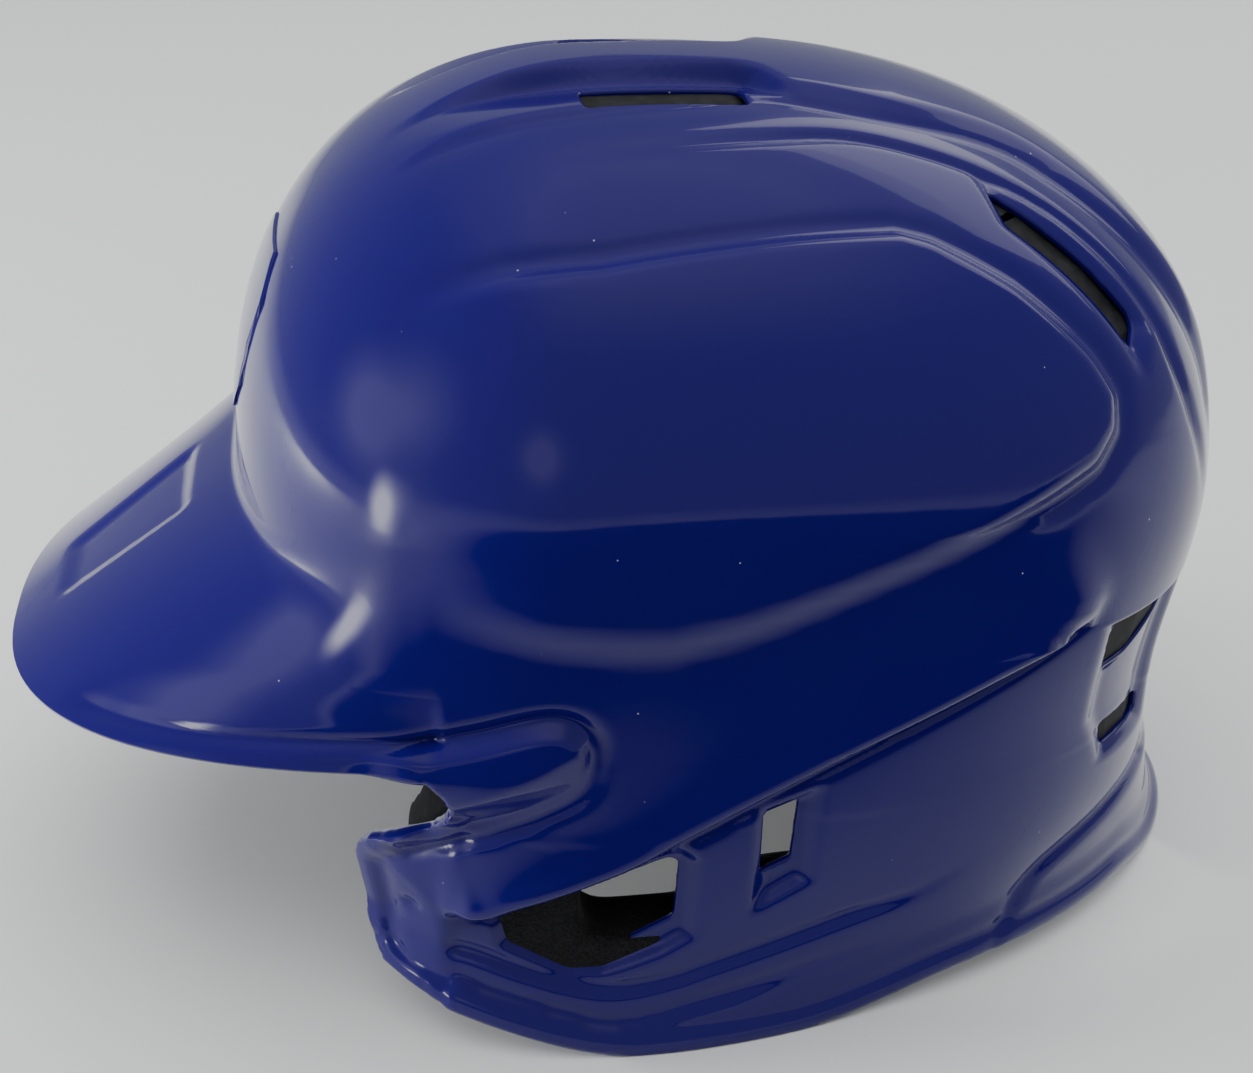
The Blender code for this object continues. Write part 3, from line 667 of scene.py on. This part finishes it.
def clip_cells(cells, keep, first_new):
    """Faces left of the cells where keep is not negative, and the new points on the cut.

    Each new point is (kept vertex, dropped vertex, share of the way from one to the other).
    """
    inside = keep >= 0.0
    state = inside[cells]
    faces = cells[state.all(axis=1)].tolist()
    made, new = {}, []
    for cell in cells[state.any(axis=1) & ~state.all(axis=1)].tolist():
        ring = []
        for a, b in zip(cell, cell[1:] + cell[:1]):
            if inside[a]:
                ring.append(a)
            if inside[a] != inside[b]:
                kept, dropped = (a, b) if inside[a] else (b, a)
                if keep[kept] == 0.0:
                    continue
                key = (kept, dropped)
                if key not in made:
                    made[key] = first_new + len(new)
                    new.append((kept, dropped, keep[kept] / (keep[kept] - keep[dropped])))
                ring.append(made[key])
        if len(ring) > 2:
            faces.append(ring)
    return faces, new


def mesh_object(name, points, faces, material):
    """Object from millimetre points in the shell's frame, without loose points."""
    mesh = bpy.data.meshes.new(name)
    moved = (np.asarray(points, float) + (0.0, MIDDLE_Y, 0.0)) * MM
    mesh.from_pydata(moved.tolist(), [], faces)
    mesh.validate()
    item = bpy.data.objects.new(name, mesh)
    bpy.context.scene.collection.objects.link(item)
    mesh.materials.append(material)
    mesh.shade_smooth()
    mesh.set_sharp_from_angle(angle=math.radians(SHARP_ANGLE))
    loose = bmesh.new()
    loose.from_mesh(mesh)
    bmesh.ops.delete(loose, geom=[v for v in loose.verts if not v.link_faces], context="VERTS")
    loose.to_mesh(mesh)
    loose.free()
    return item


def eased(height):
    """Heights on the grid, each averaged a little with its neighbours."""
    wide = np.vstack([height[1:2], height, height[-2:-1]])
    height = 0.5 * height + 0.25 * (wide[:-2] + wide[2:])
    tall = np.hstack([height[:, :1], height, height[:, -1:]])
    return 0.5 * height + 0.25 * (tall[:, :-2] + tall[:, 2:])


def mirrored(field, ring, count):
    """Left half's grid of points carried round the whole shell, as one list."""
    flip = np.ones((len(ring), 1, 3))
    flip[count:, :, 0] = -1.0
    return (field[ring] * flip).reshape(-1, 3)


def open_edges(faces):
    """Edges that only one face has, in the direction that face runs."""
    uses = {}
    for face in faces:
        for a, b in zip(face, face[1:] + face[:1]):
            if (b, a) in uses:
                del uses[(b, a)]
            else:
                uses[(a, b)] = True
    return uses


def half_round_rim(outer, inner, normal, faces):
    """Points of the outside with a half-round rim round each open edge, and the rim's faces."""
    edges = open_edges(faces)
    out_way = {}
    for a, b in edges:
        way = np.cross(outer[b] - outer[a], normal[a])
        for v in (a, b):
            out_way[v] = out_way.get(v, 0.0) + way
    rim = {}
    points = [tuple(p) for p in outer]
    for v, way in out_way.items():
        middle, half = 0.5 * (outer[v] + inner[v]), 0.5 * (outer[v] - inner[v])
        size = float(np.linalg.norm(half))
        way = way - half * float(way @ half) / size**2
        way = way / max(float(np.linalg.norm(way)), 1e-9)
        chain = [v]
        for turn in RIM_TURN:
            at = middle + half * math.cos(math.pi * turn) + way * RIM_BULGE * size * math.sin(math.pi * turn)
            chain.append(len(points))
            points.append((at[0], at[1], at[2]))
        chain.append(len(points))
        points.append(tuple(inner[v]))
        rim[v] = chain
    rim_faces = []
    for a, b in edges:
        for k in range(len(RIM_TURN) + 1):
            rim_faces.append([rim[b][k], rim[a][k], rim[a][k + 1], rim[b][k + 1]])
    return np.array(points), rim_faces


def build_shell(material):
    """The moulded shell: its outside with a half-round rim, and its inside."""
    angles, radii, heights, brim_last = skin_grid()
    base = np.stack([radii * np.sin(angles)[:, None], -radii * np.cos(angles)[:, None], heights], axis=2)
    base[0, :, 0] = 0.0
    base[-1, :, 0] = 0.0
    normal = normals_of(base)
    normal[0, 1:, 0] = 0.0
    normal[-1, 1:, 0] = 0.0
    count, rows = radii.shape
    row = np.tile(np.arange(rows), count)
    edge_gap = np.linalg.norm(base - base[:, brim_last:brim_last + 1], axis=2).ravel()
    flat = base.reshape(-1, 3)
    flat_normal = normal.reshape(-1, 3)
    raised = relief(flat, flat_normal, row, edge_gap)
    raised[row < 2] = raised[row < 2].mean()
    raised = eased(raised.reshape(count, rows)).ravel()
    outer = (flat + flat_normal * raised[:, None]).reshape(count, rows, 3)
    deeper = np.maximum(0.0, -raised - THINNING)
    inner = (flat - flat_normal * (SHELL_WALL + deeper)[:, None]).reshape(count, rows, 3)

    # The cells above the brim's edge ignore the front cut, and those below it start where it ends
    keep_lower = keep_field(flat, row, brim_last)
    keep_upper = np.where(row == brim_last, FAR_AWAY, keep_lower)
    for keep in (keep_lower, keep_upper):
        keep[np.abs(keep) < SNAP] = 0.0
    at_edge = keep_lower.reshape(count, rows)[:, brim_last]
    first_kept = int(np.argmax((at_edge >= 0.0) & (np.degrees(angles) > WALL_START)))
    at_edge[first_kept - 1] = 0.0

    ring = list(range(count)) + list(range(count - 2, 0, -1))
    outer, inner, normal = (mirrored(field, ring, count) for field in (outer, inner, normal))
    keep_lower, keep_upper = (keep.reshape(count, rows)[ring].ravel() for keep in (keep_lower, keep_upper))

    around = len(ring)
    number = np.arange(around * rows).reshape(around, rows)
    number[:, 0] = 0
    after = np.roll(number, -1, axis=0)
    turned = np.degrees(angles)[ring]
    has_wall = np.minimum(turned, np.roll(turned, -1)) > WALL_START
    cells = np.stack([number[:, :-1], number[:, 1:], after[:, 1:], after[:, :-1]], axis=2)
    faces = [[0, int(a), int(b)] for a, b in zip(number[:, 1], after[:, 1])]
    new = []
    for part, keep in ((cells[:, 1:brim_last], keep_upper), (cells[has_wall][:, brim_last:], keep_lower)):
        more, newer = clip_cells(part.reshape(-1, 4), keep, len(outer) + len(new))
        faces += more
        new += newer
    kept, dropped = (np.array([n[k] for n in new]) for k in (0, 1))
    share = np.array([n[2] for n in new])[:, None]
    outer, inner, normal = (
        np.vstack([field, field[kept] * (1 - share) + field[dropped] * share]) for field in (outer, inner, normal)
    )

    points, rim_faces = half_round_rim(outer, inner, normal, faces)
    points[:, 2] = np.maximum(points[:, 2], 0.0)
    inner[:, 2] = np.maximum(inner[:, 2], 0.0)
    outside = mesh_object("shell_outside", points, faces + rim_faces, material)
    inside = mesh_object("shell_inside", inner, [face[::-1] for face in faces], material)
    return outside, inside


def new_material(name, colour, roughness):
    """Principled material with its node tree and shader."""
    material = bpy.data.materials.new(name)
    material.use_nodes = True
    shader = material.node_tree.nodes["Principled BSDF"]
    shader.inputs["Base Color"].default_value = (*colour, 1.0)
    shader.inputs["Roughness"].default_value = roughness
    return material, material.node_tree, shader


def add_node(tree, kind, **values):
    """Node with some of its sockets set by name."""
    node = tree.nodes.new(kind)
    for key, value in values.items():
        node.inputs[key.replace("_", " ")].default_value = value
    return node


def object_coordinates(tree):
    """Coordinates that stay with the object."""
    return tree.nodes.new("ShaderNodeTexCoord").outputs["Object"]


def ramp(tree, source, stops):
    """Colour ramp over a grey source: stops are (place, colour)."""
    node = tree.nodes.new("ShaderNodeValToRGB")
    elements = node.color_ramp.elements
    for k, (place, colour) in enumerate(stops):
        element = elements[k] if k < 2 else elements.new(place)
        element.position = place
        element.color = (*colour, 1.0)
    tree.links.new(source, node.inputs["Fac"])
    return node.outputs["Color"]


def bump_node(tree, source, strength, distance, before=None):
    """Bump from a grey source, over another bump where there is one."""
    node = add_node(tree, "ShaderNodeBump", Strength=strength, Distance=distance)
    tree.links.new(source, node.inputs["Height"])
    if before is not None:
        tree.links.new(before, node.inputs["Normal"])
    return node.outputs["Normal"]


def gloss_blue():
    """Deep blue gloss plastic with faint moulding ripple, dust specks and rubbed patches."""
    material, tree, shader = new_material("gloss_blue_plastic", BLUE, 0.2)
    shader.inputs["Coat Weight"].default_value = 0.68
    shader.inputs["Coat Roughness"].default_value = 0.035
    shader.inputs["Specular IOR Level"].default_value = 0.1
    where = object_coordinates(tree)
    dust = add_node(tree, "ShaderNodeTexVoronoi", Scale=210.0)
    tree.links.new(where, dust.inputs["Vector"])
    sparse = add_node(tree, "ShaderNodeTexNoise", Scale=55.0, Detail=2.0)
    tree.links.new(where, sparse.inputs["Vector"])
    speck = ramp(tree, dust.outputs["Distance"], ((0.035, WHITE), (0.05, BLACK)))
    spread = ramp(tree, sparse.outputs["Fac"], ((0.61, BLACK), (0.64, WHITE)))
    both = tree.nodes.new("ShaderNodeMix")
    both.data_type = "RGBA"
    both.blend_type = "MULTIPLY"
    both.inputs["Factor"].default_value = 1.0
    tree.links.new(speck, both.inputs[MIX_A])
    tree.links.new(spread, both.inputs[MIX_B])
    colour = tree.nodes.new("ShaderNodeMix")
    colour.data_type = "RGBA"
    tree.links.new(both.outputs[MIX_RESULT], colour.inputs["Factor"])
    colour.inputs[MIX_A].default_value = (*BLUE, 1.0)
    colour.inputs[MIX_B].default_value = (*DUST, 1.0)
    tree.links.new(colour.outputs[MIX_RESULT], shader.inputs["Base Color"])
    rub = add_node(tree, "ShaderNodeTexNoise", Scale=22.0, Detail=5.0, Roughness=0.6)
    tree.links.new(where, rub.inputs["Vector"])
    rough = ramp(tree, rub.outputs["Fac"], ((0.3, (0.16, 0.16, 0.16)), (0.75, (0.26, 0.26, 0.26))))
    tree.links.new(rough, shader.inputs["Roughness"])
    ripple = add_node(tree, "ShaderNodeTexNoise", Scale=90.0, Detail=1.0)
    tree.links.new(where, ripple.inputs["Vector"])
    normal = bump_node(tree, ripple.outputs["Fac"], 0.05, 0.0004)
    tree.links.new(normal, shader.inputs["Normal"])
    tree.links.new(normal, shader.inputs["Coat Normal"])
    return material


def pad_fabric():
    """Black brushed fabric with a short nap."""
    material, tree, shader = new_material("pad_fabric_black", (0.006, 0.006, 0.007), 0.95)
    shader.inputs["Specular IOR Level"].default_value = 0.2
    shader.inputs["Sheen Weight"].default_value = 0.08
    shader.inputs["Sheen Roughness"].default_value = 0.4
    where = object_coordinates(tree)
    nap = add_node(tree, "ShaderNodeTexNoise", Scale=1400.0, Detail=3.0, Roughness=0.7)
    tree.links.new(where, nap.inputs["Vector"])
    colour = ramp(tree, nap.outputs["Fac"], ((0.35, (0.002, 0.002, 0.002)), (0.75, (0.016, 0.016, 0.018))))
    tree.links.new(colour, shader.inputs["Base Color"])
    clumps = add_node(tree, "ShaderNodeTexNoise", Scale=260.0, Detail=2.0)
    tree.links.new(where, clumps.inputs["Vector"])
    normal = bump_node(tree, clumps.outputs["Fac"], 0.5, 0.0008)
    normal = bump_node(tree, nap.outputs["Fac"], 0.8, 0.0005, normal)
    tree.links.new(normal, shader.inputs["Normal"])
    return material


def bead_foam():
    """Dark moulded foam whose beads show."""
    material, tree, shader = new_material("bead_foam_dark", (0.03, 0.03, 0.034), 0.75)
    where = object_coordinates(tree)
    beads = add_node(tree, "ShaderNodeTexVoronoi", Scale=330.0)
    tree.links.new(where, beads.inputs["Vector"])
    colour = ramp(tree, beads.outputs["Distance"], ((0.1, (0.012, 0.012, 0.0135)), (0.8, (0.004, 0.004, 0.0047))))
    tree.links.new(colour, shader.inputs["Base Color"])
    tree.links.new(bump_node(tree, beads.outputs["Distance"], -0.6, 0.0006), shader.inputs["Normal"])
    return material


def hook_tape():
    """Hook and loop tape."""
    material, tree, shader = new_material("hook_tape_black", (0.012, 0.012, 0.014), 0.7)
    where = object_coordinates(tree)
    hooks = add_node(tree, "ShaderNodeTexVoronoi", Scale=1100.0, Randomness=0.3)
    tree.links.new(where, hooks.inputs["Vector"])
    colour = ramp(tree, hooks.outputs["Distance"], ((0.1, (0.03, 0.03, 0.033)), (0.6, (0.006, 0.006, 0.007))))
    tree.links.new(colour, shader.inputs["Base Color"])
    tree.links.new(bump_node(tree, hooks.outputs["Distance"], -0.9, 0.0006), shader.inputs["Normal"])
    return material


def welded_copy(name, node):
    """Copy of a CAD piece with its doubled points joined."""
    item = bpy.data.objects.new(name, nodes[node].data.copy())
    bpy.context.scene.collection.objects.link(item)
    work = bmesh.new()
    work.from_mesh(item.data)
    bmesh.ops.remove_doubles(work, verts=work.verts, dist=WELD)
    work.to_mesh(item.data)
    work.free()
    return item


def settle(item):
    """Makes an object's modifiers part of its mesh."""
    graph = bpy.context.evaluated_depsgraph_get()
    fine = bpy.data.meshes.new_from_object(item.evaluated_get(graph))
    item.modifiers.clear()
    item.data = fine
    return fine


def build_pad(name, node, fabric):
    """Rounded fabric pad in the space of its CAD block."""
    pad = welded_copy(name, node)
    remesh = pad.modifiers.new("cells", "REMESH")
    remesh.mode = "VOXEL"
    remesh.voxel_size = PAD_VOXEL
    fine = settle(pad)
    soft = bmesh.new()
    soft.from_mesh(fine)
    for _ in range(PAD_ROUNDS):
        bmesh.ops.smooth_vert(soft, verts=soft.verts, factor=0.5, use_axis_x=True, use_axis_y=True, use_axis_z=True)
    soft.to_mesh(fine)
    soft.free()
    fine.materials.clear()
    fine.materials.append(fabric)
    fine.shade_smooth()
    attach(pad, "root")
    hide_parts(node)


def build_badge(material):
    """The blank badge, flatter than in the CAD and with softly rounded edges."""
    badge = welded_copy("front_badge_soft", "front_badge")
    edges = badge.modifiers.new("edges", "BEVEL")
    edges.width = BADGE_BEVEL
    edges.segments = BADGE_SEGMENTS
    edges.limit_method = "ANGLE"
    edges.angle_limit = math.radians(SHARP_ANGLE)
    fine = settle(badge)
    for vertex in fine.vertices:
        x, y, z = vertex.co / MM - Vector((0.0, MIDDLE_Y, 0.0))
        angle, reach = math.atan2(x, -y), math.hypot(x, y)
        proud = reach - float(wall_radius(angle, z))
        scale = (reach - (1.0 - BADGE_KEEP) * max(proud, 0.0)) / reach
        vertex.co = Vector((x * scale, y * scale + MIDDLE_Y, z)) * MM
    fine.materials.clear()
    fine.materials.append(material)
    fine.shade_smooth()
    fine.set_sharp_from_angle(angle=math.radians(SHARP_ANGLE))
    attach(badge, "root")
    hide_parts("front_badge")


def soft_light(name, place, aim, size, power):
    """Rectangular studio light facing a point, metres and watts."""
    lamp = bpy.data.lights.new(name, "AREA")
    lamp.shape = "RECTANGLE"
    lamp.size, lamp.size_y = size
    lamp.energy = power
    item = bpy.data.objects.new(name, lamp)
    bpy.context.scene.collection.objects.link(item)
    item.location = place
    item.rotation_euler = (Vector(aim) - Vector(place)).to_track_quat("-Z", "Y").to_euler()
    return item


def glow_card(name, place, aim, size, strength, firm=0.45):
    """Card that fades out to a round edge, unseen by the camera; one of strength 0 only darkens reflections."""
    material = bpy.data.materials.new(name)
    material.use_nodes = True
    tree = material.node_tree
    tree.nodes.remove(tree.nodes["Principled BSDF"])
    shape = tree.nodes.new("ShaderNodeTexGradient")
    shape.gradient_type = "QUADRATIC_SPHERE"
    centred = tree.nodes.new("ShaderNodeMapping")
    centred.inputs["Location"].default_value = (-1.0, -1.0, 0.0)
    centred.inputs["Scale"].default_value = (2.0, 2.0, 0.0)
    tree.links.new(tree.nodes.new("ShaderNodeTexCoord").outputs["Generated"], centred.inputs["Vector"])
    tree.links.new(centred.outputs["Vector"], shape.inputs["Vector"])
    level = ramp(tree, shape.outputs["Fac"], ((0.0, BLACK), (firm, WHITE)))
    glow = add_node(tree, "ShaderNodeEmission", Strength=strength)
    clear = tree.nodes.new("ShaderNodeBsdfTransparent")
    blend = tree.nodes.new("ShaderNodeMixShader")
    tree.links.new(level, blend.inputs["Fac"])
    tree.links.new(clear.outputs["BSDF"], blend.inputs[1])
    tree.links.new(glow.outputs["Emission"], blend.inputs[2])
    tree.links.new(blend.outputs["Shader"], tree.nodes["Material Output"].inputs["Surface"])
    bpy.ops.mesh.primitive_plane_add(size=1.0, location=place)
    card = bpy.context.object
    card.name = name
    card.scale = (size[0], size[1], 1.0)
    card.rotation_euler = (Vector(aim) - Vector(place)).to_track_quat("Z", "Y").to_euler()
    card.data.materials.append(material)
    card.visible_camera = False
    card.visible_shadow = False
    return card


blue = gloss_blue()
outside, inside = build_shell(blue)
for item in (outside, inside):
    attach(item, "root")
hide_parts("outer_shell")

fabric = pad_fabric()
for node in sorted(nodes):
    if node.endswith("_pad"):
        build_pad(node + "_soft", node, fabric)
foam = bead_foam()
tape = hook_tape()
for node, item in nodes.items():
    if node.startswith("liner_") or "_dot_" in node:
        item.data.materials.clear()
        item.data.materials.append(tape if "_dot_" in node else foam)
build_badge(blue)

floor_material, _, _ = new_material("pale_floor", (0.8, 0.81, 0.8), 0.6)
bpy.ops.mesh.primitive_plane_add(size=FLOOR_SIZE, location=(0.0, 0.0, cad_low.z - FLOOR_DROP))
floor = bpy.context.object
floor.name = "floor"
floor.data.materials.append(floor_material)

azimuth, elevation, roll = (math.radians(turn) for turn in (CAMERA_AZIMUTH, CAMERA_ELEVATION, CAMERA_ROLL))
level_back = math.cos(elevation)
back = Vector((math.sin(azimuth) * level_back, -math.cos(azimuth) * level_back, math.sin(elevation)))
right = Vector((math.cos(azimuth), math.sin(azimuth), 0.0))
up = back.cross(right)
right, up = right * math.cos(roll) + up * math.sin(roll), up * math.cos(roll) - right * math.sin(roll)
camera = bpy.data.objects.new("camera", bpy.data.cameras.new("camera"))
bpy.context.scene.collection.objects.link(camera)
turned = Matrix((right, up, back)).transposed().to_4x4()
camera.matrix_world = Matrix.Translation(CAMERA_TARGET + back * CAMERA_DISTANCE) @ turned
camera.data.sensor_width = 36.0
camera.data.lens = CAMERA_LENS
camera.data.shift_x, camera.data.shift_y = CAMERA_SHIFT
camera.data.clip_start = 0.01
bpy.context.scene.camera = camera

world = bpy.data.worlds.new("studio")
bpy.context.scene.world = world
world.use_nodes = True
world.node_tree.nodes["Background"].inputs["Color"].default_value = (*SKY, 1.0)
world.node_tree.nodes["Background"].inputs["Strength"].default_value = SKY_STRENGTH

# Reflection cards and lights: place, aim, size, then strength or watts
glow_card("ceiling", (0.0, 0.2, 2.2), (0.0, 0.0, 0.1), (5.4, 4.4), 0.8)
glow_card("window", (0.42, -1.9, 0.62), (0.05, -0.05, 0.1), (1.9, 1.5), 1.5)
glow_card("low_window", (0.33, -0.66, 0.07), (0.084, -0.062, 0.125), (0.2, 0.28), 12.0)
glow_card("paper", (1.1, -0.45, 0.42), (0.08, 0.0, 0.1), (0.7, 0.5), 0.9)
soft_light("fill", (0.2, 0.0, 2.3), (0.0, 0.0, 0.1), (3.0, 3.0), 66.0).visible_glossy = False
soft_light("behind", (-1.3, 1.6, 1.7), (0.0, 0.0, 0.1), (2.2, 1.4), 13.0)
soft_light("under", (-0.15, -1.1, 0.22), (0.04, 0.02, 0.0), (0.3, 0.12), 12.0).visible_glossy = False

# Black card lying on the floor round the shell, seen only in glossy reflections: painted shade that darkens the
# floor's reflection in the shell's lower sides
card_level = cad_low.z + CARD_LIFT
dark = glow_card("reflection_shade_card", (0.89, 0.12, card_level), (0.89, 0.12, 1.0), (1.76, 2.0), 0.0, 0.07)
dark.visible_diffuse = False
